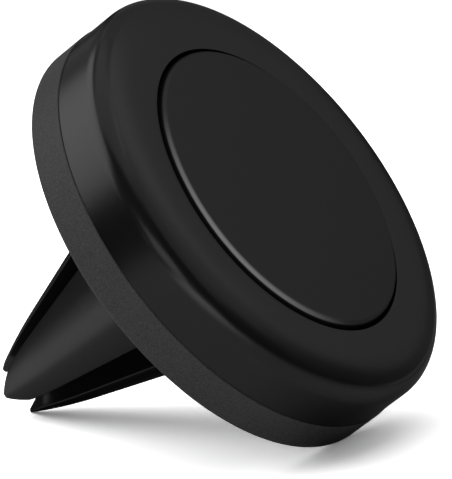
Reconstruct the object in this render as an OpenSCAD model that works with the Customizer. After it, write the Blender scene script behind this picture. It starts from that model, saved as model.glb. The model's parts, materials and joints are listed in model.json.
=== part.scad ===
// Round magnetic phone mount with a four-prong clip for an air vent.
// It lies as on a table: on the back edge of its head and the tip of its lower prong.
// +Z is up, the face looks along -Y and upwards, and the origin is under the middle of the box.
// Each piece is drawn on the head's own axis, with its back face at zero and its face at +Z,
// and is then tipped over into the resting pose.

/* [Head] */
// Outside diameter of the grained band of the rear housing
head_d = 40.2; // [38.6:0.1:46]
// Height of the grained band, from the back face to the parting line
band_h = 3.45; // [2.8:0.05:4.4]
// Radius of the back edge of the band
band_edge_r = 0.45; // [0.2:0.05:0.9]
// Step in radius from the band to the front cover
cover_step = 0.1; // [0.05:0.05:0.4]
// Small bevel on both sides of the parting line
parting_bevel = 0.05; // [0.05:0.05:0.25]
// Radius of the shoulder between the side of the cover and its face
shoulder_r = 1.75; // [1:0.05:2.4]
// Turn of the shoulder, from the side of the cover to the crown of the face, in degrees
shoulder_turn = 75; // [60:1:80]
// Radius of the crown between the shoulder and the slope of the face, in section
crown_r = 7.5; // [5:0.1:10]
// Slope of the face from the groove down to the crown, in degrees
face_slope = 1; // [0.5:0.1:6]

/* [Walls] */
// Thickness of the back wall of the rear housing
back_wall = 1.6; // [1.2:0.1:2.4]
// Thickness of the skirt of the front cover
skirt_wall = 1.5; // [1.1:0.05:2]
// Thickness of the spigot that the cover is pushed over
spigot_wall = 1.2; // [0.8:0.05:1.6]
// Thickness of the cover under the centre disc
membrane_t = 1.3; // [0.8:0.05:2]
// Radius of the snap bead round the spigot
bead_r = 0.25; // [0.15:0.05:0.4]
// Clearance between pieces that are pushed together
fit_gap = 0.05; // [0.02:0.01:0.12]

/* [Centre disc] */
// Diameter of the centre disc
disc_d = 27.1; // [22:0.1:30]
// Width of the groove round the centre disc
groove_w = 0.35; // [0.3:0.05:1]
// Depth of the recess that holds the disc
recess_h = 1.2; // [0.8:0.05:1.6]
// Height of the disc above the face
disc_proud = 0.4; // [0.1:0.05:0.6]
// Radius of the edge of the disc
disc_edge_r = 0.35; // [0.2:0.05:0.8]
// Thickness of the adhesive sheet under the disc
adhesive_t = 0.15; // [0.1:0.05:0.3]
// Margin from the edge of the disc to the edge of the adhesive sheet
adhesive_margin = 0.5; // [0.3:0.1:2]

/* [Magnets] */
// Thickness of the carrier between two magnets, which sets how large the six can be
magnet_web = 1.1; // [0.6:0.05:2]
// Thickness of a magnet
magnet_t = 3; // [2:0.1:4]
// Thickness of the carrier outside the magnets
carrier_wall = 0.95; // [0.6:0.05:1.4]
// Thickness of the steel plate behind the magnets
yoke_t = 1; // [0.6:0.1:1.5]
// Thickness of the roof of the magnet carrier
carrier_roof = 0.55; // [0.4:0.05:1]
// Gap round the head of the screw in the plate and the carrier
screw_room = 0.5; // [0.3:0.05:0.8]

/* [Clip] */
// Depth of the clip, from the back face to the tips of the prongs
clip_depth = 23.8; // [22.6:0.1:25]
// Radius of the clip's cone at the back face
clip_r = 9.87; // [9.4:0.01:11]
// Slope of the side of the cone to its axis, in degrees
clip_taper = 16.6; // [15.5:0.1:17]
// Depth at which the straight cone turns into the rounded nose
nose_start = 17; // [15:0.1:18]
// Radius of the curve of the nose, in section
nose_r = 52; // [46:1:80]
// Angle that each slot leaves open between two prongs
slot_angle = 22; // [18:0.5:24]
// Depth at which the mouth of a slot starts to widen
mouth_start = 21.5; // [19.5:0.1:22]
// Thickness of a prong that the widened mouths leave at its tip
tip_t = 0.35; // [0.05:0.05:0.6]
// Height of the collar that carries the prongs
collar_h = 3.6; // [3.2:0.1:4.4]
// Gap between the collar and the prongs, in which they flex
flex_gap = 0.4; // [0.35:0.05:0.6]

/* [Prong spines] */
// Radius of the round root of a spine, on its bending axis
root_r = 1.1; // [0.8:0.05:1.2]
// Height of the collar's lip over the round roots
lip_h = 0.4; // [0.3:0.05:0.6]
// Thickness of the neck over the round root
neck_t = 1.2; // [0.8:0.05:1.4]
// Thickness of a spine where the neck ends
spine_t = 2; // [1.6:0.1:2.4]
// Thickness of a spine at its end
spine_end_t = 1.3; // [0.8:0.1:1.6]
// Depth at which a spine ends inside its grip
spine_depth = 14; // [11:0.5:15]
// Thickness of the soft grip on the outside of a spine
grip_skin = 1.3; // [0.9:0.05:1.6]
// Thickness of the soft grip between a spine and a slot
grip_side = 0.55; // [0.4:0.05:0.7]
// Clearance between a round root and its socket
pivot_gap = 0.1; // [0.05:0.01:0.15]
// Largest outward angle that a prong flexes through, in degrees
flex_out = 5; // [3:0.5:6]

/* [Fixings] */
// Diameter of the thread of the clip screw
screw_d = 3; // [2.5:0.1:3.4]
// Diameter of the head of the clip screw
screw_head_d = 5.5; // [5:0.1:6.4]
// Height of the head of the clip screw
screw_head_h = 2; // [1.5:0.1:2.4]
// Thickness of the collar left under the end of the screw
screw_floor = 0.9; // [0.5:0.1:1.4]
// Width of the cross recess in the head of the screw
cross_w = 0.7; // [0.5:0.05:1]
// Length of the cross recess in the head of the screw
cross_l = 3; // [2.4:0.1:3.6]
// Depth of the cross recess in the head of the screw
cross_h = 1.1; // [0.6:0.1:1.3]
// Diameter of the washer under the head of the screw
washer_d = 7.4; // [6.8:0.1:8]
// Thickness of the washer
washer_t = 0.5; // [0.4:0.1:0.8]
// Diameter of the boss of the collar that passes through the back wall
boss_d = 5.2; // [4.6:0.1:6]
// Height by which the boss stays under the washer, so that the wall is clamped
boss_short = 0.1; // [0.05:0.05:0.3]
// Diameter of the two pegs that stop the clip from turning
peg_d = 1.8; // [1.4:0.1:2.2]
// Distance of the pegs from the axis of the clip
peg_ring_r = 6.4; // [6:0.1:7]

/* [Hidden] */
$fn = 96;
SMALL_FN = 48;
ARC_STEPS = 10;
PRONGS = ["lower", "right", "upper", "left"];
PRONG_TURN = [270, 0, 90, 180];
PEG_TURN = [45, 225];
MAGNET_COUNT = 6;

// Radii of the head, from the outside inwards
head_r = head_d / 2;
cover_r = head_r - cover_step;
skirt_in_r = cover_r - skirt_wall;
spigot_r = skirt_in_r - fit_gap;
cavity_r = spigot_r - spigot_wall;
carrier_r = cavity_r - fit_gap;
disc_r = disc_d / 2;
recess_r = disc_r + groove_w;
washer_r = washer_d / 2;
screw_bay_r = max(washer_r, screw_head_d / 2) + screw_room;

// Magnets: their pockets fill the carrier's rim, with a web between each two of them
pocket_spread = 2 * sin(180 / MAGNET_COUNT);
pocket_room = carrier_r - carrier_wall;
pocket_r = (pocket_spread * pocket_room - magnet_web) / (2 + pocket_spread);
magnet_ring_r = pocket_room - pocket_r;
magnet_r = pocket_r - fit_gap;

// Levels of the head, from the back face forwards
yoke_top = back_wall + yoke_t;
magnet_top = yoke_top + magnet_t;
carrier_top = magnet_top + fit_gap + carrier_roof;
ceiling = carrier_top + fit_gap;
recess_floor = ceiling + membrane_t;
face_h = recess_floor + recess_h;
disc_foot = recess_floor + adhesive_t;
disc_top = face_h + disc_proud;
shoulder_x = cover_r - shoulder_r;
crown_turn = 90 - shoulder_turn;
crown_x = shoulder_x + (shoulder_r - crown_r) * sin(crown_turn);
crown_end_r = crown_x + crown_r * sin(face_slope);
crown_end_h = face_h - (crown_end_r - recess_r) * tan(face_slope);
crown_z = crown_end_h - crown_r * cos(face_slope);
shoulder_z = crown_z + (crown_r - shoulder_r) * cos(crown_turn);
spigot_top = carrier_top;
bead_h = (band_h + spigot_top) / 2;
washer_top = back_wall + washer_t;
screw_top = washer_top + screw_head_h;
screw_bay_top = screw_top + screw_room;

// Levels and radii of the clip, as depths behind the back face
cone_slope = tan(clip_taper);
prong_foot = collar_h + flex_gap;
nose_centre_r = cone_r(nose_start) - nose_r * cos(clip_taper);
nose_centre_depth = nose_start - nose_r * sin(clip_taper);
nose_end_angle = asin((clip_depth - nose_centre_depth) / nose_r);
tip_r = nose_centre_r + nose_r * cos(nose_end_angle);
mouth_end_half = (tip_r - tip_t) / sqrt(2);
mouth_slope = (mouth_end_half - slot_half(mouth_start)) / (clip_depth - mouth_start);
reach = 2 * clip_r;
past = 1;

// Spines: the blade keeps its distance from the outside of the grip and from both slots
spine_skin = grip_skin / cos(clip_taper);
socket_r = root_r + pivot_gap;
pivot_depth = collar_h - lip_h - socket_r;
pivot_r = spine_out_r(prong_foot) - spine_t / 2;
spine_half = spine_half_w(prong_foot, spine_t);
spine_end_half = spine_half_w(spine_depth, spine_end_t);
neck_room = neck_t / 2 + (collar_h - pivot_depth) * tan(flex_out) + pivot_gap;

// Fixings
boss_r = boss_d / 2;
peg_r = peg_d / 2;
screw_r = screw_d / 2;
screw_depth = collar_h - screw_floor;

// Resting pose: the table touches the lower prong's tip and the rounded edge of the band
rest_rise = head_r - band_edge_r - tip_r;
rest_run = clip_depth + band_edge_r;
rest_tilt = atan2(rest_rise, rest_run) + asin(band_edge_r / norm([rest_rise, rest_run]));
rest_turn = 90 - rest_tilt;
rest_lift = tip_r * sin(rest_turn) + clip_depth * cos(rest_turn);
back_reach = tip_r * cos(rest_turn) + clip_depth * sin(rest_turn);
front_reach = shoulder_x * cos(rest_turn) + shoulder_z * sin(rest_turn) + shoulder_r;
rest_shift = (front_reach - back_reach) / 2;

// Radius of the clip's straight cone at a depth
function cone_r(depth) = clip_r - depth * cone_slope;

// Half the width of a slot at a depth, so that its edges run down the cone towards its point
function slot_half(depth) = cone_r(depth) * sin(slot_angle / 2);

// Half the width of the widened mouth at a depth
function mouth_half(depth) = slot_half(mouth_start) + (depth - mouth_start) * mouth_slope;

// Distance of the outer side of a spine from the axis of the clip at a depth
function spine_out_r(depth) = cone_r(depth) - spine_skin;

// Half the width of a spine of a given thickness at a depth
function spine_half_w(depth, thickness) =
    spine_out_r(depth) - thickness - sqrt(2) * (slot_half(depth) + grip_side);

// Points of an arc from one angle to another
function arc(centre, radius, from, to) = [
    for (i = [0:ARC_STEPS])
        let (angle = from + (to - from) * i / ARC_STEPS)
        centre + radius * [cos(angle), sin(angle)]
];

// Points of an arc that goes on from a point already drawn
function arc_on(centre, radius, from, to) = [
    for (i = [1:ARC_STEPS])
        arc(centre, radius, from, to)[i]
];

// Tips a piece from the head's own axis into the resting pose
module in_rest() {
    translate([0, rest_shift, rest_lift])
        rotate([rest_turn, 0, 0])
            children();
}

// A round hole or pin along the head's axis between two levels
module post(radius, from, to, sides = SMALL_FN) {
    translate([0, 0, from])
        cylinder(h = to - from, r = radius, $fn = sides);
}

// Copies a piece to the place of each magnet
module at_magnet(index) {
    rotate([0, 0, (index - 1) * 360 / MAGNET_COUNT])
        translate([magnet_ring_r, 0, 0])
            children();
}

// Copies a piece to the two pegs, which stand between the prongs
module at_pegs() {
    for (turn = PEG_TURN)
        rotate([0, 0, turn])
            translate([peg_ring_r, 0, 0])
                children();
}

// Round cup with the grained band, the back wall and the spigot for the cover
module rear_housing() {
    outline = concat(
        [[0, 0]],
        arc([head_r - band_edge_r, band_edge_r], band_edge_r, -90, 0),
        [
            [head_r, band_h - parting_bevel],
            [head_r - parting_bevel, band_h],
            [spigot_r, band_h],
            [spigot_r, bead_h - bead_r]
        ],
        arc([spigot_r, bead_h], bead_r, -90, 90),
        [
            [spigot_r, spigot_top],
            [cavity_r, spigot_top],
            [cavity_r, back_wall],
            [0, back_wall]
        ]
    );
    color([0.21, 0.21, 0.22])
        difference() {
            rotate_extrude()
                polygon(outline);
            post(boss_r + fit_gap, -past, back_wall + past);
            at_pegs()
                post(peg_r + fit_gap, -past, back_wall + past);
        }
}

// Smooth cap with a rounded shoulder and the recess for the centre disc
module front_cover() {
    groove_r = bead_r + fit_gap;
    outline = concat(
        [
            [0, ceiling],
            [skirt_in_r, ceiling]
        ],
        arc([skirt_in_r, bead_h], groove_r, 90, -90),
        [
            [skirt_in_r, band_h],
            [cover_r - parting_bevel, band_h],
            [cover_r, band_h + parting_bevel]
        ],
        arc([shoulder_x, shoulder_z], shoulder_r, 0, shoulder_turn),
        arc_on([crown_x, crown_z], crown_r, shoulder_turn, 90 - face_slope),
        [
            [recess_r, face_h],
            [recess_r, recess_floor],
            [0, recess_floor]
        ]
    );
    color([0.11, 0.11, 0.115])
        rotate_extrude()
            polygon(outline);
}

// Plain disc with a rounded edge, where a phone's plate comes to rest
module centre_disc() {
    outline = concat(
        [[0, disc_foot], [disc_r, disc_foot]],
        arc([disc_r - disc_edge_r, disc_top - disc_edge_r], disc_edge_r, 0, 90),
        [[0, disc_top]]
    );
    color([0.12, 0.12, 0.12])
        rotate_extrude()
            polygon(outline);
}

// Thin adhesive sheet between the disc and the floor of its recess
module disc_adhesive() {
    color([0.75, 0.73, 0.66])
        post(disc_r - adhesive_margin, recess_floor, disc_foot, $fn);
}

// Moulded tray that keeps the magnets apart
module magnet_carrier() {
    color([0.3, 0.3, 0.31])
        difference() {
            post(carrier_r, yoke_top, carrier_top, $fn);
            post(screw_bay_r, yoke_top - past, screw_bay_top);
            for (i = [1:MAGNET_COUNT])
                at_magnet(i)
                    post(pocket_r, yoke_top - past, magnet_top + fit_gap);
        }
}

// Flat steel ring that closes the magnets' field at the back
module steel_yoke() {
    color([0.72, 0.73, 0.75])
        difference() {
            post(carrier_r, back_wall, yoke_top, $fn);
            post(screw_bay_r, back_wall - past, yoke_top + past);
        }
}

// One plated disc magnet
module magnet(index) {
    color([0.78, 0.78, 0.8])
        at_magnet(index)
            post(magnet_r, yoke_top, magnet_top);
}

// Socket in the collar for the round root of one spine, open upwards for its neck
module root_socket() {
    socket_w = 2 * (spine_half + pivot_gap);
    translate([pivot_r, 0, -pivot_depth]) {
        rotate([90, 0, 0])
            cylinder(h = socket_w, r = socket_r, center = true, $fn = SMALL_FN);
        translate([-neck_room, -socket_w / 2, -collar_h])
            cube([2 * neck_room, socket_w, collar_h]);
    }
}

// Foot of the clip's cone, screwed to the back wall, with the four sockets
module clip_collar() {
    color([0.13, 0.13, 0.13])
        difference() {
            union() {
                translate([0, 0, -collar_h])
                    cylinder(h = collar_h, r1 = cone_r(collar_h), r2 = clip_r);
                post(boss_r, -past, back_wall - boss_short);
                at_pegs()
                    post(peg_r, -past, back_wall);
            }
            post(screw_r + fit_gap, -screw_depth - fit_gap, back_wall + past);
            for (turn = PRONG_TURN)
                rotate([0, 0, turn])
                    root_socket();
        }
}

// Pan-head screw that holds the collar, put in from inside the housing
module clip_screw() {
    color([0.6, 0.6, 0.62])
        difference() {
            union() {
                post(screw_r, -screw_depth, washer_top + past);
                post(screw_head_d / 2, washer_top, screw_top);
            }
            for (turn = [0, 90])
                rotate([0, 0, turn])
                    translate([-cross_l / 2, -cross_w / 2, screw_top - cross_h])
                        cube([cross_l, cross_w, cross_h + past]);
        }
}

// Plain washer under the screw's head
module clip_washer() {
    color([0.7, 0.7, 0.72])
        difference() {
            post(washer_r, back_wall, washer_top);
            post(screw_r + screw_room / 2, back_wall - past, washer_top + past);
        }
}

// Blade of a spine inside its grip, grown by a gap on every side when it is used as a cut
module spine_blade(gap) {
    top_r = spine_out_r(prong_foot);
    end_r = spine_out_r(spine_depth);
    end = spine_depth + gap;
    side = [
        [top_r - spine_t - gap, -prong_foot],
        [top_r + gap, -prong_foot],
        [end_r + gap, -end],
        [end_r - spine_end_t - gap, -end]
    ];
    front = [
        [-spine_half - gap, -prong_foot],
        [spine_half + gap, -prong_foot],
        [spine_end_half + gap, -end],
        [-spine_end_half - gap, -end]
    ];
    intersection() {
        rotate([90, 0, 0])
            linear_extrude(height = reach, center = true)
                polygon(side);
        rotate([90, 0, 90])
            linear_extrude(height = reach)
                polygon(front);
    }
}

// Stiff spine of one prong: round root, neck and tapering blade
module spine(turn) {
    spine_w = 2 * spine_half;
    color([0.25, 0.25, 0.26])
        rotate([0, 0, turn])
            union() {
                translate([pivot_r, 0, -pivot_depth])
                    rotate([90, 0, 0])
                        cylinder(h = spine_w, r = root_r, center = true, $fn = SMALL_FN);
                translate([pivot_r - neck_t / 2, -spine_half, -prong_foot])
                    cube([neck_t, spine_w, prong_foot - pivot_depth]);
                spine_blade(0);
            }
}

// Everything on one side of a slot, with the widened mouth at its far end
module beside_slot() {
    far = clip_depth + past;
    near = prong_foot - past;
    rotate([90, 0, 0])
        linear_extrude(height = 2 * reach, center = true)
            polygon([
                [slot_half(near), -near],
                [slot_half(mouth_start), -mouth_start],
                [mouth_half(far), -far],
                [reach, -far],
                [reach, -near]
            ]);
}

// Soft jaw of one prong: a quarter of the pointed cone between two slots
module grip(turn) {
    outline = concat(
        [[0, -prong_foot], [cone_r(prong_foot), -prong_foot]],
        [
            for (p = arc([nose_centre_r, nose_centre_depth], nose_r, clip_taper, nose_end_angle))
                [p[0], -p[1]]
        ],
        [[0, -clip_depth]]
    );
    color([0.12, 0.12, 0.125])
        rotate([0, 0, turn])
            difference() {
                intersection() {
                    rotate_extrude()
                        polygon(outline);
                    rotate([0, 0, -45])
                        beside_slot();
                    rotate([0, 0, 45])
                        beside_slot();
                }
                spine_blade(fit_gap);
            }
}

in_rest() rear_housing();
in_rest() front_cover();
in_rest() centre_disc();
in_rest() disc_adhesive();
in_rest() magnet_carrier();
in_rest() steel_yoke();
for (i = [1:MAGNET_COUNT])
    in_rest() magnet(i);
in_rest() clip_collar();
in_rest() clip_screw();
in_rest() clip_washer();
for (i = [0:len(PRONGS) - 1])
    in_rest() spine(PRONG_TURN[i]);
for (i = [0:len(PRONGS) - 1])
    in_rest() grip(PRONG_TURN[i]);
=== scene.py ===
"""Dresses the packed vent phone mount: turned head, centre disc and four-jaw clip, on a plain table."""

import json
import math

import bmesh
import bpy
from bpy.props import FloatProperty, FloatVectorProperty, IntProperty, PointerProperty
from mathutils import Matrix, Vector


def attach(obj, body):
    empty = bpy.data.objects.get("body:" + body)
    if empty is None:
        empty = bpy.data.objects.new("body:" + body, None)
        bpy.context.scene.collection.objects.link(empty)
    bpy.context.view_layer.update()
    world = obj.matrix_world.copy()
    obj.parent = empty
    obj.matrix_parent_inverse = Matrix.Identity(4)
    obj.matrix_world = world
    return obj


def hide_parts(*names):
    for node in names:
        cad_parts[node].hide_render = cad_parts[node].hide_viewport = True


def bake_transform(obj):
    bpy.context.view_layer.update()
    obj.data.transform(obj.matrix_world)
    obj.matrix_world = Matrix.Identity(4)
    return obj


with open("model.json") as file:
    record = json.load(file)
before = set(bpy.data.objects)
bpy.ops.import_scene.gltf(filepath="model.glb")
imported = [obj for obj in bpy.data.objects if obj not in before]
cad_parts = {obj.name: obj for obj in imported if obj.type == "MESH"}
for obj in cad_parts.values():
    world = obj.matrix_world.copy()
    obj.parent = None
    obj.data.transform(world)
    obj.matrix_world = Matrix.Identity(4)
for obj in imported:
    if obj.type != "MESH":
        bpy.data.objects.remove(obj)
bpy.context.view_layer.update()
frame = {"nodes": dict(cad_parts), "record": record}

bl_info = {
    "name": "Vent phone mount",
    "version": (1, 0, 0),
    "blender": (4, 5, 0),
    "location": "3D View > Sidebar > Mount",
    "description": "Builds the looks of a round phone mount with a vent clip around its solids",
    "category": "Object",
}

MM = 0.001
QUARTER = math.pi / 2
DIAGONAL = math.sqrt(2)

# Points nearer than this are one, and edges sharper than this stay sharp
WELD = 1e-6
SHARP_ANGLE = math.radians(38)

# A profile's long straight runs get support points this far from both ends
SUPPORT = 0.06 * MM
LONG_RUN = 4 * SUPPORT

# Turn of each jaw about the head's axis, and the turn from a jaw's middle to a slot's
JAWS = {"right": 0, "upper": 90, "left": 180, "lower": 270}
TURN_TO_SLOT = math.radians(45)
MAGNETS = [f"magnet_{number}" for number in range(1, 7)]


# Places on the head's own axis, read from the packed part


def mount_on_axis(name):
    """Place and direction of one of the record's mounts."""
    found = next(m for m in frame["record"]["mounts"] if m["name"] == name)
    return Vector(found["pos_m"]), Vector(found["axis"]).normalized()


FACE_POINT, HEAD_AXIS = mount_on_axis("phone_face")


def span(node):
    """Lowest level, highest level and largest radius of a solid, seen from the face point."""
    levels, radii = [], []
    for vertex in frame["nodes"][node].data.vertices:
        offset = vertex.co - FACE_POINT
        height = offset.dot(HEAD_AXIS)
        levels.append(height)
        radii.append((offset - height * HEAD_AXIS).length)
    return min(levels), max(levels), max(radii)


BACK_LEVEL = span("rear_housing")[0]
HEAD_TIP = math.atan2(-HEAD_AXIS.y, HEAD_AXIS.z)
HEAD_PLACE = FACE_POINT + BACK_LEVEL * HEAD_AXIS
HEAD_FRAME = Matrix.Translation(HEAD_PLACE) @ Matrix.Rotation(HEAD_TIP, 4, "X")


def level(node, end):
    """Level of a solid above the back face: end 0 is its lowest point, end 1 its highest."""
    return span(node)[end] - BACK_LEVEL


def radius(node):
    """Largest radius of a solid about the head's axis."""
    return span(node)[2]


def jaw_frame(turn):
    """The head's frame, turned to one of the jaws."""
    return HEAD_FRAME @ Matrix.Rotation(math.radians(turn), 4, "Z")


# Sizes, colours and lamps that a user may change


def length(name, about, size):
    """One length."""
    return FloatProperty(name=name, description=about, default=size, min=0, unit="LENGTH", precision=6)


def angle(name, about, degrees):
    """One angle."""
    return FloatProperty(name=name, description=about, default=math.radians(degrees), subtype="ANGLE")


def count(name, about, number, least):
    """One number of steps."""
    return IntProperty(name=name, description=about, default=number, min=least)


def shade(name, about, colour):
    """One colour."""
    return FloatVectorProperty(
        name=name, description=about, default=colour, size=3, min=0, max=1, subtype="COLOR"
    )


def lamp_level(name, about, radiance):
    """One radiance."""
    return FloatProperty(name=name, description=about, default=radiance, min=0)


class MountHead(bpy.types.PropertyGroup):
    """Sizes and colours of the head."""

    segments: count("Segments", "Steps round each turned piece", 256, 32)
    band_radius: length("Band radius", "Outside of the grained band", radius("rear_housing"))
    band_height: length("Band height", "From the back face to the parting line", level("front_cover", 0))
    back_edge: length("Back edge", "Rounding of the band's back edge", 0.45 * MM)
    parting_edge: length("Parting edge", "Rounding of the cover's edge at the parting line", 0.012 * MM)
    spigot_step: length("Spigot step", "From the band's radius in to the spigot", 1.65 * MM)
    spigot_wall: length("Spigot wall", "Thickness of the spigot under the cover", 1.2 * MM)
    spigot_top: length("Spigot top", "Level of the spigot's end", level("rear_housing", 1))
    back_wall: length("Back wall", "Thickness of the back wall", 1.6 * MM)
    boss_hole: length("Boss hole", "Radius of the hole for the clip's boss", 2.65 * MM)
    cover_radius: length("Cover radius", "Outside of the cover's side", radius("front_cover"))
    cover_skirt: length("Cover skirt", "Thickness of the cover's skirt", 1.5 * MM)
    cover_ceiling: length("Cover ceiling", "Level of the cover's inside", 6.25 * MM)
    shoulder: length("Shoulder", "Radius of the cover's rounded shoulder", 1.75 * MM)
    shoulder_end: angle("Shoulder end", "Turn of the shoulder where the face's crown takes over", 75)
    shoulder_level: length("Shoulder level", "Level of the shoulder's centre", 6.754 * MM)
    face_level: length("Face level", "Level of the face beside the groove", level("front_cover", 1))
    recess_radius: length("Recess radius", "Radius of the recess for the disc", 13.9 * MM)
    recess_floor: length("Recess floor", "Level of the recess's floor", 7.55 * MM)
    lip_edge: length("Lip edge", "Rounding of the recess's rim", 0.06 * MM)
    disc_radius: length("Disc radius", "Radius of the centre disc", radius("centre_disc"))
    disc_foot: length("Disc foot", "Level of the disc's underside", level("centre_disc", 0))
    disc_top: length("Disc top", "Level of the disc's face", level("centre_disc", 1))
    disc_edge: length("Disc edge", "Rounding of the disc's edge", 0.35 * MM)
    band_colour: shade("Band", "Colour of the grained band", (0.035, 0.035, 0.0362))
    cover_colour: shade("Cover", "Colour of the soft-touch cover", (0.003, 0.003, 0.0031))
    disc_colour: shade("Disc", "Colour of the rubber disc", (0.005, 0.005, 0.0051))
    # A painted highlight: pale grey painted on one side of the disc's edge, and the turn where it is
    # strongest
    painted_highlight_colour: shade("Disc edge", "Colour of the disc's rubbed edge", (0.29, 0.29, 0.29))
    painted_highlight_turn: angle("Highlighted side", "Turn about the head's axis where the disc is rubbed most", 195)


class MountClip(bpy.types.PropertyGroup):
    """Sizes and colours of the clip."""

    foot_radius: length("Foot radius", "Radius of the clip's cone at the back face", 9.87 * MM)
    taper: angle("Taper", "Slope of the cone's side to its axis", 16.6)
    collar_depth: length("Collar depth", "Depth of the collar's end", -level("clip_collar", 0))
    root_fillet: length("Root fillet", "Fillet between the collar and the back wall", 0.3 * MM)
    seam_edge: length("Seam edge", "Rounding on both sides of the collar's seam", 0.12 * MM)
    seam: length("Seam", "Opening of the seam between the collar and the jaws", 0.02 * MM)
    tip_depth: length("Tip depth", "Depth of the jaws' tips", -level("grip_left", 0))
    nose_depth: length("Nose depth", "Depth where the cone turns into the rounded nose", 17 * MM)
    nose_radius: length("Nose radius", "Radius of the nose's curve, in section", 52 * MM)
    slot_turn: angle("Slot angle", "Angle that each slot leaves open", 22)
    mouth_depth: length("Mouth depth", "Depth where a slot's mouth starts to widen", 21.5 * MM)
    tip_wall: length("Tip wall", "Thickness of a jaw at its tip", 0.35 * MM)
    jaw_edge: length("Jaw edge", "Rounding of the jaws' long edges", 0.1 * MM)
    bend_end: length("Bend end", "Depth where the bending of a jaw's skin ends", 7 * MM)
    jaw_rows: count("Jaw rows", "Steps along a jaw", 64, 16)
    colour: shade("Jaws", "Colour of the jaws' rubber", (0.003, 0.003, 0.0031))


class MountInside(bpy.types.PropertyGroup):
    """Colours of the pieces inside."""

    tape_colour: shade("Tape", "Colour of the adhesive sheet", (0.55, 0.52, 0.44))
    tray_colour: shade("Tray", "Colour of the magnet carrier", (0.06, 0.06, 0.065))
    spine_colour: shade("Spines", "Colour of the jaws' spines", (0.05, 0.05, 0.052))
    zinc_colour: shade("Zinc", "Colour of the zinc-plated steel", (0.55, 0.56, 0.58))
    nickel_colour: shade("Nickel", "Colour of the magnets' plating", (0.62, 0.62, 0.6))


class MountStage(bpy.types.PropertyGroup):
    """Camera, lamps and table."""

    camera_place: FloatVectorProperty(
        name="Camera place",
        description="Where the camera stands",
        default=(-0.32888, -0.17881, 0.08917),
        size=3,
        subtype="TRANSLATION",
    )
    camera_turn: FloatVectorProperty(
        name="Camera turn",
        description="Azimuth, elevation and roll of the view",
        default=(math.radians(-61.88), math.radians(11.03), math.radians(-1.88)),
        size=3,
        subtype="EULER",
    )
    lens: FloatProperty(
        name="Lens", description="Focal length of the camera", default=339.96, unit="CAMERA"
    )
    side_level: lamp_level("Side lamp", "Radiance of the softbox at the left", 3.0)
    top_level: lamp_level("Top lamp", "Radiance of the softbox above", 1.12)
    wall_level: lamp_level("Walls", "Radiance of the pale walls at both sides and behind", 0.67)
    strip_level: lamp_level("Front strip", "Radiance of the low strip in front", 2.25)
    mat_level: lamp_level("Mats", "Radiance of the light mats on the table", 1.5)
    room_level: lamp_level("Room", "Radiance of the rest of the room", 0.1)
    table_colour: shade("Table", "Colour of the table", (0.86, 0.86, 0.86))
    table_glow: shade("Table glow", "Colour that the table adds where it is seen", (1.0, 1.0, 1.0))
    table_lift: lamp_level("Table lift", "White that the table adds to its shadow", 0.1)


# Node trees


def maths(operation):
    """An operator on links and its reflected form, both of which add a Math node."""
    settings = {"operation": operation}

    def plain(link, other):
        return link.graph.node("ShaderNodeMath", settings, {0: link, 1: other})

    def reflected(link, other):
        return link.graph.node("ShaderNodeMath", settings, {0: other, 1: link})

    return plain, reflected


class Link:
    """One socket of a node tree, which can stand in sums, products and powers."""

    def __init__(self, graph, socket):
        self.graph = graph
        self.socket = socket

    __add__, __radd__ = maths("ADD")
    __sub__, __rsub__ = maths("SUBTRACT")
    __mul__, __rmul__ = maths("MULTIPLY")
    __truediv__, __rtruediv__ = maths("DIVIDE")
    __pow__, __rpow__ = maths("POWER")


class Graph:
    """A node tree whose nodes are added one by one."""

    def __init__(self, tree):
        self.tree = tree

    def node(self, kind, settings=None, sockets=None, output=0):
        """Adds a node, settings first, then sockets. Gives a link to an output, or the node for None."""
        made = self.tree.nodes.new(kind)
        for name, value in (settings or {}).items():
            setattr(made, name, value)
        for name, value in (sockets or {}).items():
            if isinstance(value, Link):
                self.tree.links.new(value.socket, made.inputs[name])
            else:
                made.inputs[name].default_value = value
        return made if output is None else Link(self, made.outputs[output])


def opaque(colour):
    """A colour with full alpha."""
    return (*colour, 1)


def stray(middle, spread, share):
    """A value that strays to both sides of its middle as the share goes from 0 to 1."""
    return middle - spread + 2 * spread * share


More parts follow.
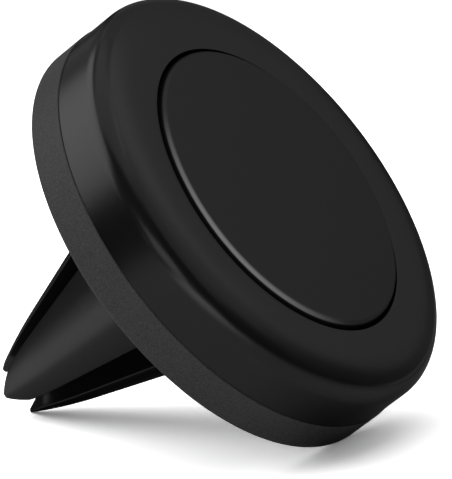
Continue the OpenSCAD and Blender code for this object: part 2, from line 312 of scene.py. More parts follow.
class Finish(Graph):
    """A material built from nodes around one Principled shader."""

    # Sockets of a Mix node that blends two colours
    SHARE, FIRST, SECOND, BLENDED = 0, 6, 7, 2

    # How far a surface has turned from the eye where its sheen starts to fade, and where it is lost
    SHEEN_FADE = (0.22, 0.7)

    def __init__(self, name):
        self.material = bpy.data.materials.new(name)
        self.material.use_nodes = True
        super().__init__(self.material.node_tree)
        self.tree.nodes.clear()
        self.place = self.node("ShaderNodeTexCoord", output="Object")

    def noise(self, scale, detail=2, roughness=0.5, place=None):
        """Soft noise from 0 to 1, whose scale counts features per metre."""
        grain = {"Scale": scale, "Detail": detail, "Roughness": roughness}
        return self.node("ShaderNodeTexNoise", None, {"Vector": place or self.place, **grain})

    def cells(self, scale):
        """Distance to the nearest of scattered points, as a fine moulded grain has."""
        return self.node("ShaderNodeTexVoronoi", None, {"Vector": self.place, "Scale": scale})

    def tint(self, share, first, second):
        """A colour between two others, each of them a link or three numbers."""
        ends = [end if isinstance(end, Link) else opaque(end) for end in (first, second)]
        sockets = {self.SHARE: share, self.FIRST: ends[0], self.SECOND: ends[1]}
        return self.node("ShaderNodeMix", {"data_type": "RGBA"}, sockets, self.BLENDED)

    def mottle(self, share, colour, darkest, lightest):
        """A colour that wanders between a darker and a lighter tone of itself."""
        dark, light = ([channel * factor for channel in colour] for factor in (darkest, lightest))
        return self.tint(share, dark, light)

    def ramp(self, value, low, high):
        """0 below low, 1 above high and a soft step between."""
        return self.node(
            "ShaderNodeMapRange",
            {"interpolation_type": "SMOOTHSTEP"},
            {"Value": value, "From Min": low, "From Max": high},
        )

    def bump(self, height, strength, depth):
        """A normal raised and lowered by a height."""
        sockets = {"Height": height, "Strength": strength, "Distance": depth}
        return self.node("ShaderNodeBump", None, sockets)

    def close(self, sockets, dulled=0, matt=None):
        """Feeds the shader and the output. A dulled surface loses sheen edge on, and in a matt zone."""
        surface = self.node("ShaderNodeBsdfPrincipled", None, sockets)
        if dulled:
            facing = self.node("ShaderNodeLayerWeight", None, {"Blend": 0.5}, "Facing")
            lost = dulled * self.ramp(facing, *self.SHEEN_FADE)
            if matt:
                lost = lost + matt * (1 - lost)
            chalky = self.node("ShaderNodeBsdfPrincipled", None, {**sockets, "Specular IOR Level": 0})
            surface = self.node("ShaderNodeMixShader", None, {0: lost, 1: surface, 2: chalky})
        self.node("ShaderNodeOutputMaterial", None, {"Surface": surface}, None)
        return self.material

    def on_head(self):
        """The two coordinates across the head's axis, and the level above its back face."""
        turned = self.node(
            "ShaderNodeMapping",
            {"vector_type": "TEXTURE"},
            {"Vector": self.place, "Location": HEAD_PLACE, "Rotation": (HEAD_TIP, 0, 0)},
        )
        split = self.node("ShaderNodeSeparateXYZ", None, {"Vector": turned}, None)
        return [Link(self, split.outputs[axis]) for axis in "XYZ"]


def grained_plastic(name, colour, grain, depth, roughness):
    """Moulded plastic with a fine eroded grain: pits, specks and a slow change of tone."""
    finish = Finish(name)
    pits = finish.cells(1 / grain)
    specks = finish.noise(1.7 / grain, detail=3, roughness=0.6)
    cloud = finish.noise(60)
    tone = finish.ramp(specks * 0.75 + cloud * 0.25, low=0.3, high=0.7)
    return finish.close({
        "Base Color": finish.mottle(tone, colour, darkest=0.62, lightest=1.38),
        "Roughness": stray(roughness, 0.08, specks),
        "Specular IOR Level": 0.12,
        "Normal": finish.bump(pits * 0.6 + specks * 0.8, strength=0.55, depth=depth),
    }, dulled=0.7)


def satin_rubber(name, colour, roughness, tooth_size, depth, dulled=0.8, painted_highlight=None, matt=None):
    """Soft-touch rubber with a faint bloom and a fine tooth, and perhaps a painted highlight or a matt
    zone.
    """
    finish = Finish(name)
    bloom = finish.noise(110, detail=3, roughness=0.55)
    tooth = finish.noise(1 / tooth_size, roughness=0.6)
    tone = finish.ramp(bloom * 0.6 + tooth * 0.4, low=0.32, high=0.68)
    surface = finish.mottle(tone, colour, darkest=0.86, lightest=1.14)
    # A painted highlight: in the given zone the colour is blended towards a pale colour
    if painted_highlight:
        painted_highlight_colour, zone = painted_highlight
        surface = finish.tint(zone(finish), surface, painted_highlight_colour)
    return finish.close({
        "Base Color": surface,
        "Roughness": stray(roughness, 0.03, bloom),
        "Specular IOR Level": 0.22,
        "Normal": finish.bump(tooth, strength=0.2, depth=depth),
    }, dulled, matt and matt(finish))


def plated_metal(name, colour, roughness, lay):
    """Plated metal with fine lines, cloudy tone and small dull spots."""
    finish = Finish(name)
    stretched = finish.node("ShaderNodeMapping", None, {"Vector": finish.place, "Scale": (1, lay, 1)})
    lines = finish.noise(2500, place=stretched)
    cloud = finish.noise(350, detail=3, roughness=0.6)
    spots = finish.ramp(finish.noise(1400, detail=1), low=0.62, high=0.72)
    tone = finish.ramp(lines * 0.4 + cloud * 0.6, low=0.3, high=0.7)
    return finish.close({
        "Base Color": finish.mottle(tone, colour, darkest=0.82, lightest=1.1),
        "Metallic": 1.0,
        "Roughness": roughness + 0.12 * cloud + 0.15 * spots,
        "Normal": finish.bump(lines, strength=0.15, depth=0.01 * MM),
    })


def fibre_tape(name, colour):
    """Thin double-sided tape: matted fibres under a dull film."""
    finish = Finish(name)
    fibres = finish.noise(3000, detail=4, roughness=0.75)
    cloud = finish.noise(500)
    return finish.close({
        "Base Color": finish.mottle(fibres * 0.7 + cloud * 0.3, colour, darkest=0.7, lightest=1.2),
        "Roughness": 0.45 + 0.35 * fibres,
        "Normal": finish.bump(fibres, strength=0.4, depth=0.02 * MM),
    })


# Geometry Nodes trees that turn a profile into a shell and set a jaw in its place


def shape_tree(name, inputs):
    """An empty geometry tree with its inputs and the pose's, and a link to each of them."""
    tree = bpy.data.node_groups.new(name, "GeometryNodeTree")
    tree.interface.new_socket("Geometry", in_out="INPUT", socket_type="NodeSocketGeometry")
    pose = {"Tip": "NodeSocketVector", "Place": "NodeSocketVector", "Material": "NodeSocketMaterial"}
    for label, kind in {**inputs, **pose}.items():
        tree.interface.new_socket(label, in_out="INPUT", socket_type=kind)
    tree.interface.new_socket("Geometry", in_out="OUTPUT", socket_type="NodeSocketGeometry")
    graph = Graph(tree)
    entry = graph.node("NodeGroupInput", output=None)
    return graph, {socket.name: Link(graph, socket) for socket in entry.outputs if socket.name}


def set_in_place(graph, shape, entry):
    """Tips a shape into the resting pose, realises it and gives it its material."""
    pose = {"Geometry": shape, "Rotation": entry["Tip"], "Translation": entry["Place"]}
    placed = graph.node("GeometryNodeTransform", None, pose)
    real = graph.node("GeometryNodeRealizeInstances", None, {"Geometry": placed})
    paint = {"Geometry": real, "Material": entry["Material"]}
    painted = graph.node("GeometryNodeSetMaterial", None, paint)
    graph.node("NodeGroupOutput", None, {"Geometry": painted}, None)
    return graph.tree


def turned_tree():
    """Sweeps a profile's edges round the head's axis and welds its poles."""
    graph, entry = shape_tree("Turned shell", {
        "Segments": "NodeSocketInt",
        "Sweep Radius": "NodeSocketFloat",
        "Weld": "NodeSocketFloat",
    })
    profile = graph.node("GeometryNodeMeshToCurve", None, {"Mesh": entry["Geometry"]})
    circle = graph.node(
        "GeometryNodeCurvePrimitiveCircle",
        {"mode": "RADIUS"},
        {"Resolution": entry["Segments"], "Radius": entry["Sweep Radius"]},
    )
    path = graph.node("GeometryNodeSetCurveNormal", {"mode": "Z_UP"}, {"Curve": circle})
    swept = graph.node("GeometryNodeCurveToMesh", None, {"Curve": path, "Profile Curve": profile})
    merge = {"Geometry": swept, "Distance": entry["Weld"]}
    return set_in_place(graph, graph.node("GeometryNodeMergeByDistance", None, merge), entry)


def jaw_tree():
    """Turns the one drawn jaw about the head's axis to its place in the clip."""
    graph, entry = shape_tree("Clip jaw", {"Turn": "NodeSocketVector"})
    pose = {"Geometry": entry["Geometry"], "Rotation": entry["Turn"]}
    return set_in_place(graph, graph.node("GeometryNodeTransform", None, pose), entry)


def plain_mesh(source):
    """The evaluated mesh of an object, which is then removed."""
    graph = bpy.context.evaluated_depsgraph_get()
    mesh = bpy.data.meshes.new_from_object(source.evaluated_get(graph), depsgraph=graph)
    bpy.data.objects.remove(source)
    return mesh


def stand_in_scene(name, data):
    """An object in the scene: a mesh, a lamp or a camera."""
    made = bpy.data.objects.new(name, data)
    bpy.context.scene.collection.objects.link(made)
    return made


def grow(name, mesh, tree, material, values):
    """Runs a geometry tree on a mesh, sets it in the resting pose and returns the finished object."""
    values = {**values, "Tip": (HEAD_TIP, 0, 0), "Place": HEAD_PLACE, "Material": material}
    source = stand_in_scene(name + "_source", mesh)
    modifier = source.modifiers.new("Shape", "NODES")
    modifier.node_group = tree
    for item in tree.interface.items_tree:
        if item.in_out == "INPUT" and item.name in values:
            modifier[item.identifier] = values[item.name]
    piece = stand_in_scene(name, plain_mesh(source))
    tidy(piece)
    return piece


def tidy(piece):
    """Merges doubles, turns faces outwards and shades the piece smooth between its sharp edges."""
    work = bmesh.new()
    work.from_mesh(piece.data)
    bmesh.ops.remove_doubles(work, verts=work.verts, dist=WELD)
    bmesh.ops.recalc_face_normals(work, faces=work.faces)
    if any(len(edge.link_faces) != 2 for edge in work.edges):
        raise RuntimeError(f"{piece.name} isn't closed")
    work.to_mesh(piece.data)
    work.free()
    piece.data.shade_smooth()
    piece.data.set_sharp_from_angle(angle=SHARP_ANGLE)


# Profiles of the turned pieces, in radii and levels


def arc(centre, size, start, end, steps):
    """Points of an arc, from one turn to another."""
    turns = [start + (end - start) * step / steps for step in range(steps + 1)]
    return [(centre[0] + size * math.cos(t), centre[1] + size * math.sin(t)) for t in turns]


def part_way(here, there, share):
    """The point at a share of the way from one point to another."""
    return tuple(a + (b - a) * share for a, b in zip(here, there))


def held(points, closed):
    """A profile with a support point beside both ends of each long straight run."""
    kept = []
    for index, here in enumerate(points):
        kept.append(here)
        if index + 1 == len(points) and not closed:
            break
        there = points[(index + 1) % len(points)]
        run = math.dist(here, there)
        if run > LONG_RUN:
            kept += [part_way(here, there, share) for share in (SUPPORT / run, 1 - SUPPORT / run)]
    return kept


def turned_piece(name, profile, closed, material):
    """A shell of revolution. A profile that isn't closed starts and ends on the axis."""
    sweep = max(point[0] for point in profile)
    points = [(reach - sweep, -height, 0) for reach, height in held(profile, closed)]
    starts = range(len(points) if closed else len(points) - 1)
    mesh = bpy.data.meshes.new(name + "_profile")
    mesh.from_pydata(points, [(index, (index + 1) % len(points)) for index in starts], [])
    return grow(name, mesh, turned_tree(), material, {
        "Segments": bpy.context.scene.mount_head.segments,
        "Sweep Radius": sweep,
        "Weld": WELD,
    })


# Pieces


class MOUNT_OT_rear_housing(bpy.types.Operator):
    """Turns the rear housing: grained band, back wall and the spigot inside the cover."""

    bl_idname = "mount.rear_housing"
    bl_label = "Rear housing"

    def execute(self, context):
        size = context.scene.mount_head
        spigot = size.band_radius - size.spigot_step
        cavity = spigot - size.spigot_wall
        back, edge = size.back_edge, size.band_radius - size.cover_radius
        profile = [(size.boss_hole, 0)]
        profile += arc((size.band_radius - back, back), back, -QUARTER, 0, steps=10)
        profile += arc((size.band_radius - edge, size.band_height - edge), edge, 0, QUARTER, steps=6)
        profile += [(spigot, size.band_height), (spigot, size.spigot_top), (cavity, size.spigot_top)]
        profile += [(cavity, size.back_wall), (size.boss_hole, size.back_wall)]
        finish = grained_plastic(
            "grained housing plastic", size.band_colour, grain=0.24 * MM, depth=0.04 * MM, roughness=0.6
        )
        piece = turned_piece("housing_band", profile, closed=True, material=finish)
        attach(piece, "head")
        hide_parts("rear_housing")
        return {"FINISHED"}


class MOUNT_OT_front_cover(bpy.types.Operator):
    """Turns the front cover: side, rounded shoulder, crowned face and the recess for the disc."""

    bl_idname = "mount.front_cover"
    bl_label = "Front cover"

    CROWN_STEPS = 28
    MATT_FADE = 0.05 * MM

    def crown(self, size):
        """The face from the shoulder in to the recess, steep outside and level at the recess."""
        centre = size.cover_radius - size.shoulder
        outer = centre + size.shoulder * math.cos(size.shoulder_end)
        drop = size.face_level - size.shoulder_level - size.shoulder * math.sin(size.shoulder_end)
        inner = size.recess_radius + size.lip_edge
        run = outer - inner
        power = run / math.tan(size.shoulder_end) / drop
        shares = [1 - step / self.CROWN_STEPS for step in range(1, self.CROWN_STEPS + 1)]
        return [(inner + run * share, size.face_level - drop * share**power) for share in shares]

    def execute(self, context):
        size = context.scene.mount_head
        inside = size.cover_radius - size.cover_skirt
        edge, lip = size.parting_edge, size.lip_edge
        shoulder = (size.cover_radius - size.shoulder, size.shoulder_level)
        rim = (size.recess_radius + lip, size.face_level - lip)
        profile = [(0, size.cover_ceiling), (inside, size.cover_ceiling), (inside, size.band_height)]
        profile += arc((size.cover_radius - edge, size.band_height + edge), edge, -QUARTER, 0, steps=6)
        profile += arc(shoulder, size.shoulder, 0, size.shoulder_end, steps=24)
        profile += self.crown(size)
        profile += arc(rim, lip, QUARTER, 2 * QUARTER, steps=6)[1:]
        profile += [(size.recess_radius, size.recess_floor), (0, size.recess_floor)]

        def in_recess(finish):
            """The side of the recess, which is left as it comes out of the mould."""
            x, y, _ = finish.on_head()
            reach = (x * x + y * y) ** 0.5
            return 1 - finish.ramp(reach, size.recess_radius, size.recess_radius + self.MATT_FADE)

        finish = satin_rubber(
            "soft-touch cover",
            size.cover_colour,
            roughness=0.25,
            tooth_size=0.09 * MM,
            depth=0.006 * MM,
            matt=in_recess,
        )
        piece = turned_piece("cover_cap", profile, closed=False, material=finish)
        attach(piece, "head")
        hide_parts("front_cover")
        return {"FINISHED"}


class MOUNT_OT_centre_disc(bpy.types.Operator):
    """Turns the rubber disc in the middle of the face."""

    bl_idname = "mount.centre_disc"
    bl_label = "Centre disc"

    # Where the painted highlight starts and is full: in from the side, below the top, and as the turn's
    # cosine
    PAINTED_HIGHLIGHT_RIM = (0.65 * MM, 0.05 * MM)
    PAINTED_HIGHLIGHT_TOP = (0.29 * MM, 0.18 * MM)
    PAINTED_HIGHLIGHT_SIDE = (0.45, 1.15)

    def execute(self, context):
        size = context.scene.mount_head
        edge = size.disc_edge
        profile = [(0, size.disc_foot), (size.disc_radius, size.disc_foot)]
        profile += arc((size.disc_radius - edge, size.disc_top - edge), edge, 0, QUARTER, steps=14)
        profile += [(0, size.disc_top)]

        def highlighted(finish):
            """The painted highlight: the edge, from a little way in on the top, on one side of the disc
            only.
            """
            x, y, height = finish.on_head()
            reach = (x * x + y * y) ** 0.5
            side = (math.cos(size.painted_highlight_turn) * x + math.sin(size.painted_highlight_turn) * y) / reach
            rim = finish.ramp(reach, *(size.disc_radius - inset for inset in self.PAINTED_HIGHLIGHT_RIM)) ** 2
            top = finish.ramp(height, *(size.disc_top - drop for drop in self.PAINTED_HIGHLIGHT_TOP))
            return rim * top * finish.ramp(side, *self.PAINTED_HIGHLIGHT_SIDE)

        # Pale grey painted on one side of the disc's edge stands in for a highlight
        finish = satin_rubber(
            "matt disc rubber",
            size.disc_colour,
            roughness=0.42,
            tooth_size=0.12 * MM,
            depth=0.01 * MM,
            painted_highlight=(size.painted_highlight_colour, highlighted),
        )
        piece = turned_piece("disc_pad", profile, closed=False, material=finish)
        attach(piece, "head")
        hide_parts("centre_disc")
        return {"FINISHED"}


def jaw_rubber(size):
    """The rubber that the collar and the jaws share."""
    name = "satin jaw rubber"
    return bpy.data.materials.get(name) or satin_rubber(
        name, size.colour, roughness=0.28, tooth_size=0.1 * MM, depth=0.006 * MM, dulled=0.95
    )


def cone_radius(size, depth):
    """Radius of the clip's straight cone at a depth behind the back face."""
    return size.foot_radius - depth * math.tan(size.taper)


class MOUNT_OT_clip_collar(bpy.types.Operator):
    """Turns the foot of the clip and cuts the sockets of the four spines."""

    bl_idname = "mount.clip_collar"
    bl_label = "Clip collar"

    # Radius and depth of a spine's pivot, and the round socket and the neck cut for it
    PIVOT = (6.321 * MM, 2 * MM)
    SOCKET_RADIUS = 1.2 * MM
    SOCKET_WIDTH = 4.6 * MM
    SOCKET_STEPS = 32
    NECK_THICKNESS = 1.68 * MM
    NECK_WIDTH = 0.999 * SOCKET_WIDTH

    # Boss that goes through the back wall, and the screw's bore in it
    BOSS_RADIUS = 2.6 * MM
    BOSS_TOP = 1.5 * MM
    BORE_RADIUS = 1.55 * MM
    BORE_DEPTH = 2.75 * MM

    def sockets(self, depth):
        """The round roots and necks that are cut from the collar."""
        work = bmesh.new()
        reach, pivot_depth = self.PIVOT
        for turn in JAWS.values():
            pose = jaw_frame(turn) @ Matrix.Translation((reach, 0, -pivot_depth))
            bmesh.ops.create_cone(
                work,
                cap_ends=True,
                segments=self.SOCKET_STEPS,
                radius1=self.SOCKET_RADIUS,
                radius2=self.SOCKET_RADIUS,
                depth=self.SOCKET_WIDTH,
                matrix=pose @ Matrix.Rotation(QUARTER, 4, "X"),
            )
            neck = Matrix.Translation((0, 0, -depth / 2))
            scale = Matrix.Diagonal((self.NECK_THICKNESS, self.NECK_WIDTH, depth, 1))
            bmesh.ops.create_cube(work, size=1, matrix=pose @ neck @ scale)
        mesh = bpy.data.meshes.new("socket_cut")
        work.to_mesh(mesh)
        work.free()
        return stand_in_scene("socket_cut", mesh)

    def execute(self, context):
        size = context.scene.mount_clip
        edge, fillet, depth = size.seam_edge, size.root_fillet, size.collar_depth
        end = cone_radius(size, depth)
        root = cone_radius(size, fillet)
        profile = [(0, -self.BORE_DEPTH), (self.BORE_RADIUS, -self.BORE_DEPTH)]
        profile += [(self.BORE_RADIUS, self.BOSS_TOP), (self.BOSS_RADIUS, self.BOSS_TOP)]
        profile += [(self.BOSS_RADIUS, 0)]
        profile += arc((root + fillet, -fillet), fillet, QUARTER, 2 * QUARTER - size.taper, steps=8)
        profile += arc((end - edge, edge - depth), edge, -size.taper, -QUARTER, steps=6)
        profile += [(0, -depth)]
        blank = turned_piece("collar_foot", profile, closed=False, material=jaw_rubber(size))
        cutter = self.sockets(depth)
        cut = blank.modifiers.new("Sockets", "BOOLEAN")
        cut.operation = "DIFFERENCE"
        cut.solver = "EXACT"
        cut.use_self = True
        cut.object = cutter
        piece = stand_in_scene("clip_foot", plain_mesh(blank))
        bpy.data.objects.remove(cutter)
        tidy(piece)
        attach(piece, "head")
        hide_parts("clip_collar")
        return {"FINISHED"}


class Jaw:
    """Sections of one jaw of the clip, drawn on the side of +X, half way between two slots."""

    # Steps from a jaw's middle to its edge, round an edge, and along the face beside a slot
    ARC_STEPS = 18
    EDGE_STEPS = 6
    SIDE_STEPS = 8

    # The long edges' rounding is at most this share of the wall, and the tip's is this share
    EDGE_SHARE = 0.28
    TIP_SHARE = 0.25

    # Half the length of the soft turn into a slot's mouth
    MOUTH_BLEND = 0.25 * MM

    def __init__(self, size):
        self.size = size
        self.nose = (
            cone_radius(size, size.nose_depth) - size.nose_radius * math.cos(size.taper),
            size.nose_depth - size.nose_radius * math.sin(size.taper),
        )
        tip_half = (self.outside(size.tip_depth) - size.tip_wall) / DIAGONAL
        self.mouth_slope = (tip_half - self.slot(size.mouth_depth)) / (size.tip_depth - size.mouth_depth)

    def outside(self, depth):
        """Radius of the clip's outside at a depth: straight cone, then rounded nose."""
        if depth <= self.size.nose_depth:
            return cone_radius(self.size, depth)
        return self.nose[0] + math.sqrt(self.size.nose_radius**2 - (depth - self.nose[1]) ** 2)

    def slot(self, depth):
        """Half the width of the plain slot at a depth."""
        return cone_radius(self.size, depth) * math.sin(self.size.slot_turn / 2)

    def opening(self, depth):
        """Half the width between two jaws at a depth, with the widened mouth and a soft turn into it."""
        past = depth - self.size.mouth_depth
        soft = self.MOUTH_BLEND
        if past < -soft:
            return self.slot(depth)
        if past > soft:
            return self.slot(self.size.mouth_depth) + past * self.mouth_slope
        return self.slot(depth) + self.mouth_slope * (past + soft) ** 2 / (4 * soft)

    def section(self, depth, inset):
        """Outline of the jaw across the axis at a depth, drawn in by an inset."""
        out = self.outside(depth) - inset
        half = self.opening(depth) + inset
        wall = out - DIAGONAL * half
        edge = max(min(self.size.jaw_edge, self.EDGE_SHARE * wall), WELD)
        across = (math.sin(TURN_TO_SLOT), -math.cos(TURN_TO_SLOT))
        along = (math.cos(TURN_TO_SLOT), math.sin(TURN_TO_SLOT))
        run = math.sqrt((out - edge) ** 2 - (half + edge) ** 2)
        centre = tuple(a * (half + edge) + b * run for a, b in zip(across, along))
        corner = math.atan2(centre[1], centre[0])
        face_turn = math.atan2(-across[1], -across[0])
        upper = arc((0, 0), out, 0, corner, self.ARC_STEPS)[1:]
        upper += arc(centre, edge, corner, face_turn, self.EDGE_STEPS)[1:]
        foot = arc((DIAGONAL * (half + edge), 0), edge, face_turn, math.pi, self.EDGE_STEPS)
        start = upper[-1]
        upper += [part_way(start, foot[0], step / self.SIDE_STEPS) for step in range(1, self.SIDE_STEPS)]
        upper += foot[:-1]
        lower = [(x, -y) for x, y in reversed(upper)]
        return [(out, 0), *upper, foot[-1], *lower]

    def rows(self):
        """Depths and insets of the sections, rounded at the foot and at the tip."""
        size = self.size
        start = size.collar_depth + size.seam
        foot, tip = size.seam_edge, self.TIP_SHARE * size.tip_wall
        first, last = start + foot, size.tip_depth - tip
        turns = [QUARTER * step / self.EDGE_STEPS for step in range(self.EDGE_STEPS)]
        shares = [step / size.jaw_rows for step in range(size.jaw_rows + 1)]
        rows = [(start + foot * (1 - math.cos(t)), foot * (1 - math.sin(t))) for t in turns]
        rows += [(first + (last - first) * share, 0) for share in shares]
        rows += [(last + tip * math.sin(t), tip * (1 - math.cos(t))) for t in turns[1:]]
        return rows

    def mesh(self):
        """Closed mesh of the jaw through all its sections."""
        work = bmesh.new()
        rings = []
        for depth, inset in self.rows():
            rings.append([work.verts.new((x, y, -depth)) for x, y in self.section(depth, inset)])
        for upper, lower in zip(rings, rings[1:]):
            for index in range(len(upper)):
                after = (index + 1) % len(upper)
                work.faces.new((upper[index], upper[after], lower[after], lower[index]))
        for ring in (rings[0], rings[-1]):
            work.faces.new(ring)
        mesh = bpy.data.meshes.new("jaw_sections")
        work.to_mesh(mesh)
        work.free()
        return mesh


class MOUNT_OT_clip_jaws(bpy.types.Operator):
    """Lofts one soft jaw and turns it to the clip's four places."""

    bl_idname = "mount.clip_jaws"
    bl_label = "Clip jaws"

    def execute(self, context):
        size = context.scene.mount_clip
        jaw = Jaw(size)
        tree = jaw_tree()
        for side, turn in JAWS.items():
            turned = {"Turn": (0, 0, math.radians(turn))}
            piece = grow(f"jaw_{side}", jaw.mesh(), tree, jaw_rubber(size), turned)
            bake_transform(piece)
            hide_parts(f"grip_{side}")
        return {"FINISHED"}


class MOUNT_OT_inner_pieces(bpy.types.Operator):
    """Gives the solids inside the head and the jaws their finishes."""

    bl_idname = "mount.inner_pieces"
    bl_label = "Inner pieces"

    def execute(self, context):
        size = context.scene.mount_inside
        tape = fibre_tape("fibre tape", size.tape_colour)
        tray = grained_plastic(
            "tray plastic", size.tray_colour, grain=0.3 * MM, depth=0.02 * MM, roughness=0.5
        )
        spine = grained_plastic(
            "spine plastic", size.spine_colour, grain=0.25 * MM, depth=0.02 * MM, roughness=0.5
        )
        zinc = plated_metal("zinc plate", size.zinc_colour, roughness=0.28, lay=0.15)
        nickel = plated_metal("nickel plate", size.nickel_colour, roughness=0.12, lay=1)
        for material, nodes in (
            (tape, ["disc_adhesive"]),
            (tray, ["magnet_carrier"]),
            (spine, [f"spine_{side}" for side in JAWS]),
            (zinc, ["steel_yoke", "clip_screw", "clip_washer"]),
            (nickel, MAGNETS),
        ):
            for node in nodes:
                mesh = frame["nodes"][node].data
                mesh.materials.clear()
                mesh.materials.append(material)
        return {"FINISHED"}


# Table, cards, lamps and camera


def direction(turn, rise):
    """The way from the part to something at an azimuth and an elevation."""
    return Vector((math.sin(turn) * math.cos(rise), -math.cos(turn) * math.cos(rise), math.sin(rise)))


def sheet_mesh(name, corners, material):
    """A mesh of one four-sided face."""
    mesh = bpy.data.meshes.new(name)
    mesh.from_pydata(corners, [], [(0, 1, 2, 3)])
    mesh.materials.append(material)
    return mesh


class MOUNT_OT_stage(bpy.types.Operator):
    """Sets up the table, the cards, the lamps, the room and the camera."""

    bl_idname = "mount.stage"
    bl_label = "Stage"

    # Half the table's side, and how far from the part it starts to turn plain white and is so
    TABLE_HALF = 3.0
    TABLE_FADE = (0.12, 0.3)

    # Name, tone, both ends of the foot (to the right, nearer) and the top's height at each end
    CARD_FOOT = 1 * MM
    STANDING_CARDS = [
        ("left card", 0.008, (-0.065, 0.004), (-0.065, 0.065), (0.028, 0.028)),
        ("left grey card", 0.3, (-0.065, -0.06), (-0.065, 0.004), (0.028, 0.028)),
        ("left front card", 0.25, (-0.065, 0.065), (-0.03, 0.12), (0.012, 0.012)),
        ("right card", 0.008, (0.035, 0.09), (0.105, 0.03), (0.016, 0.016)),
        ("far right card", 0.008, (0.105, 0.03), (0.105, -0.035), (0.016, 0.012)),
    ]

    # Name, tone, reach from left to right, reach from far to near, and height above the table
    LYING_CARDS = [
        ("right grey sheet", 0.5, (0.036, 0.105), (-0.06, 0.06), 0.4 * MM),
        ("sheet", 0.92, (-0.09, 0.09), (-0.09, 0.09), 0.2 * MM),
    ]

    # Name, azimuth from the camera's and elevation, width and height as angles, level and share of it
    AIM = Vector((0, 0, 0.014))
    LAMP_DISTANCE = 0.4
    SOFTBOXES = [
        ("side softbox", (-103, 33), (66, 42), "side_level", 1),
        ("left wall", (-151, 27), (25, 44), "wall_level", 1.1),
        ("top softbox", (0, 90), (58, 58), "top_level", 1),
        ("right wall", (84, 45), (72, 40), "wall_level", 1),
        ("back wall", (155, 36), (64, 46), "wall_level", 1),
        ("low wall", (136, 7), (20, 14), "wall_level", 0.6),
        ("front strip", (-16, 9.5), (34, 18), "strip_level", 1),
    ]

    # Name, reach from left to right, reach from far to near, and share of the level
    MAT_HEIGHT = 0.5 * MM
    LIGHT_MATS = [
        ("front mat", (-0.036, 0.03), (0.052, 0.16), 1),
        ("side mat", (-0.039, -0.0195), (-0.018, 0.018), 0.75),
    ]

    SENSOR_WIDTH = 36
    CLIPPING = (0.01, 20)

    def lamp(self, name, place, pose, size, radiance):
        """A rectangular lamp of a given radiance that shines along its own -Z."""
        data = bpy.data.lights.new(name, "AREA")
        data.shape = "RECTANGLE"
        data.size, data.size_y = size
        data.energy = radiance * math.pi * size[0] * size[1]
        made = stand_in_scene(name, data)
        made.location = place
        made.rotation_mode = "QUATERNION"
        made.rotation_quaternion = pose
        made.visible_camera = False

    def softbox(self, stage, name, bearing, spread, radiance):
        """A lamp that faces the part."""
        azimuth, elevation = (math.radians(degrees) for degrees in bearing)
        back = direction(azimuth + stage.camera_turn[0], elevation)
        place = self.AIM + back * self.LAMP_DISTANCE
        size = [2 * self.LAMP_DISTANCE * math.tan(math.radians(degrees) / 2) for degrees in spread]
        self.lamp(name, place, back.to_track_quat("Z", "Y"), size, radiance)

    def on_table(self, stage, across, nearer, height=0):
        """A place above the table: how far to the right of the part, and how far towards the camera."""
        turn = stage.camera_turn[0]
        right = Vector((math.cos(turn), math.sin(turn), 0))
        near = Vector((math.sin(turn), -math.cos(turn), 0))
        return right * across + near * nearer + Vector((0, 0, height))

    def light_mat(self, stage, name, across, nearer, radiance):
        """A lamp that lies on the table and shines upwards."""
        place = self.on_table(stage, sum(across) / 2, sum(nearer) / 2, self.MAT_HEIGHT)
        size = (across[1] - across[0], nearer[1] - nearer[0])
        axes = (self.on_table(stage, 1, 0), self.on_table(stage, 0, -1), Vector((0, 0, -1)))
        self.lamp(name, place, Matrix(axes).transposed().to_quaternion(), size, radiance)

    def cards(self):
        """Name, tone and corners of each card."""
        for name, tone, start, end, tops in self.STANDING_CARDS:
            foot = [(*start, self.CARD_FOOT), (*end, self.CARD_FOOT)]
            yield name, tone, [*foot, (*end, tops[1]), (*start, tops[0])]
        for name, tone, (left, right), (far, near), height in self.LYING_CARDS:
            outline = [(left, far), (right, far), (right, near), (left, near)]
            yield name, tone, [(*corner, height) for corner in outline]

    def card(self, stage, name, tone, corners):
        """A sheet of grey or black card, which only the part's reflections show."""
        finish = Finish(name)
        grain = finish.noise(1500, detail=3)
        material = finish.close({
            "Base Color": finish.mottle(grain, [tone] * 3, darkest=0.9, lightest=1.1),
            "Roughness": 0.9,
            "Specular IOR Level": 0,
        })
        places = [self.on_table(stage, *corner) for corner in corners]
        card = stand_in_scene(name, sheet_mesh(name, places, material))
        card.visible_camera = card.visible_shadow = card.visible_diffuse = False
        return card

    def table(self, stage):
        """A wide pale table, lifted to white for what is seen of it. It keeps the part's shadow."""
        finish = Finish("pale table")
        rays = finish.node("ShaderNodeLightPath", output=None).outputs
        kinds = ("Is Camera Ray", "Is Glossy Ray", "Is Transmission Ray")
        camera, glossy, through = (Link(finish, rays[kind]) for kind in kinds)
        seen = camera + glossy + through
        grain = finish.noise(900, detail=3)
        tone = finish.mottle(grain, stage.table_colour, darkest=0.99, lightest=1.01)
        matt = {"Base Color": tone, "Specular IOR Level": 0}
        paper = finish.node("ShaderNodeBsdfPrincipled", None, matt)
        glow = finish.node("ShaderNodeBsdfDiffuse", None, {"Color": opaque(stage.table_glow)})
        bright = finish.node("ShaderNodeAddShader", None, {0: paper, 1: glow})
        lift = finish.node("ShaderNodeEmission", None, {"Strength": stage.table_lift})
        lifted = finish.node("ShaderNodeAddShader", None, {0: bright, 1: lift})
        away = finish.node("ShaderNodeVectorMath", {"operation": "LENGTH"}, {0: finish.place}, "Value")
        far = finish.ramp(away, *self.TABLE_FADE)
        white = finish.node("ShaderNodeEmission", None, {"Strength": 1.0})
        wide = finish.node("ShaderNodeMixShader", None, {0: far, 1: lifted, 2: white})
        surface = finish.node("ShaderNodeMixShader", None, {0: seen, 1: paper, 2: wide})
        finish.node("ShaderNodeOutputMaterial", None, {"Surface": surface}, None)
        half = self.TABLE_HALF
        corners = [(-half, -half, 0), (half, -half, 0), (half, half, 0), (-half, half, 0)]
        return stand_in_scene("table", sheet_mesh("table", corners, finish.material))

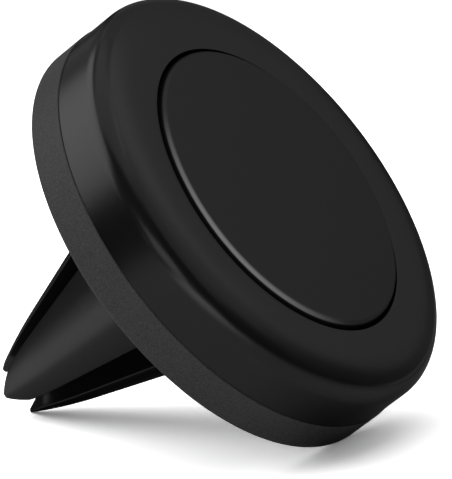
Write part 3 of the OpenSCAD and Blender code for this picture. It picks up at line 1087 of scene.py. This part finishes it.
    def room(self, stage):
        """The dim room round the table."""
        world = bpy.data.worlds.new("room")
        world.use_nodes = True
        graph = Graph(world.node_tree)
        graph.tree.nodes.clear()
        sockets = {"Color": (1, 1, 1, 1), "Strength": stage.room_level}
        walls = graph.node("ShaderNodeBackground", None, sockets)
        graph.node("ShaderNodeOutputWorld", None, {"Surface": walls}, None)
        bpy.context.scene.world = world

    def camera(self, stage):
        """The camera at the photograph's viewing angle."""
        turn, rise, roll = stage.camera_turn
        back = direction(turn, rise)
        level_right = self.on_table(stage, 1, 0)
        right = math.cos(roll) * level_right + math.sin(roll) * back.cross(level_right)
        data = bpy.data.cameras.new("photo camera")
        data.lens = stage.lens
        data.sensor_width = self.SENSOR_WIDTH
        data.clip_start, data.clip_end = self.CLIPPING
        made = stand_in_scene("photo camera", data)
        pose = Matrix((right, back.cross(right), back)).transposed().to_4x4()
        pose.translation = stage.camera_place
        made.matrix_world = pose
        bpy.context.scene.camera = made

    def execute(self, context):
        stage = context.scene.mount_stage
        self.table(stage)
        for name, tone, corners in self.cards():
            self.card(stage, name, tone, corners)
        for name, bearing, spread, lamp, share in self.SOFTBOXES:
            self.softbox(stage, name, bearing, spread, share * getattr(stage, lamp))
        for name, across, nearer, share in self.LIGHT_MATS:
            self.light_mat(stage, name, across, nearer, share * stage.mat_level)
        self.room(stage)
        self.camera(stage)
        context.scene.view_settings.view_transform = "Standard"
        return {"FINISHED"}


class MOUNT_PT_panel(bpy.types.Panel):
    """Lists the mount's steps and sizes in the sidebar."""

    bl_label = "Phone mount"
    bl_space_type = "VIEW_3D"
    bl_region_type = "UI"
    bl_category = "Mount"

    def draw(self, context):
        for step in STEPS:
            self.layout.operator(step.bl_idname)
        for name, group in GROUPS.items():
            box = self.layout.box()
            box.label(text=group.__doc__)
            settings = getattr(context.scene, name)
            for key in group.__annotations__:
                box.prop(settings, key)


GROUPS = {
    "mount_head": MountHead,
    "mount_clip": MountClip,
    "mount_inside": MountInside,
    "mount_stage": MountStage,
}
STEPS = [
    MOUNT_OT_rear_housing,
    MOUNT_OT_front_cover,
    MOUNT_OT_centre_disc,
    MOUNT_OT_clip_collar,
    MOUNT_OT_clip_jaws,
    MOUNT_OT_inner_pieces,
    MOUNT_OT_stage,
]
CLASSES = [*GROUPS.values(), *STEPS, MOUNT_PT_panel]


def register():
    for item in CLASSES:
        bpy.utils.register_class(item)
    for name, group in GROUPS.items():
        setattr(bpy.types.Scene, name, PointerProperty(type=group))


def unregister():
    for name in GROUPS:
        delattr(bpy.types.Scene, name)
    for item in reversed(CLASSES):
        bpy.utils.unregister_class(item)


def main():
    register()
    bpy.ops.mount.rear_housing()
    bpy.ops.mount.front_cover()
    bpy.ops.mount.centre_disc()
    bpy.ops.mount.clip_collar()
    bpy.ops.mount.clip_jaws()
    bpy.ops.mount.inner_pieces()
    bpy.ops.mount.stage()


if __name__ == "__main__":
    main()
